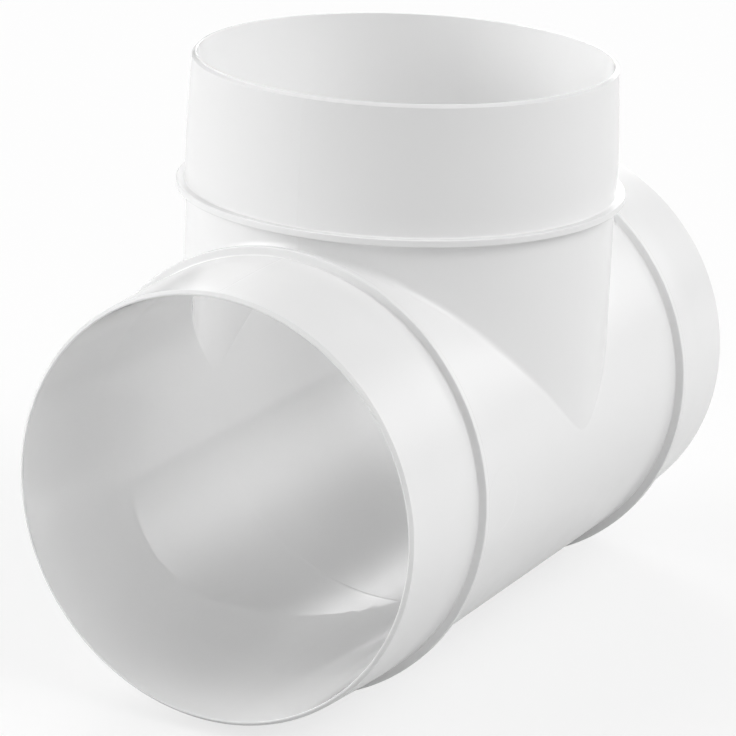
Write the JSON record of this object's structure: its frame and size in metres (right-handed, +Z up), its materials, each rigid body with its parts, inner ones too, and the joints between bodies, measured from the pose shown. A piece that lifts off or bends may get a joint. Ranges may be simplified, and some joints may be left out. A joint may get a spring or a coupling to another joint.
{
  "type": "plastic duct tee",
  "caption": "Equal tee for round ventilation duct: a straight run with a square branch, each leg ending in a tapered spigot with a stop ring.",
  "frame": {"origin": "the point where the centre lines of the three legs cross", "axes": "+X along the run, +Z up the branch, Y across the tee"},
  "size_m": [0.254, 0.1548, 0.2044],
  "materials": {
    "tee_body": "white injection-moulded plastic with a smooth gloss"
  },
  "bodies": {
    "root": {"tee_body": "tee_body"}
  },
  "joints": []
}
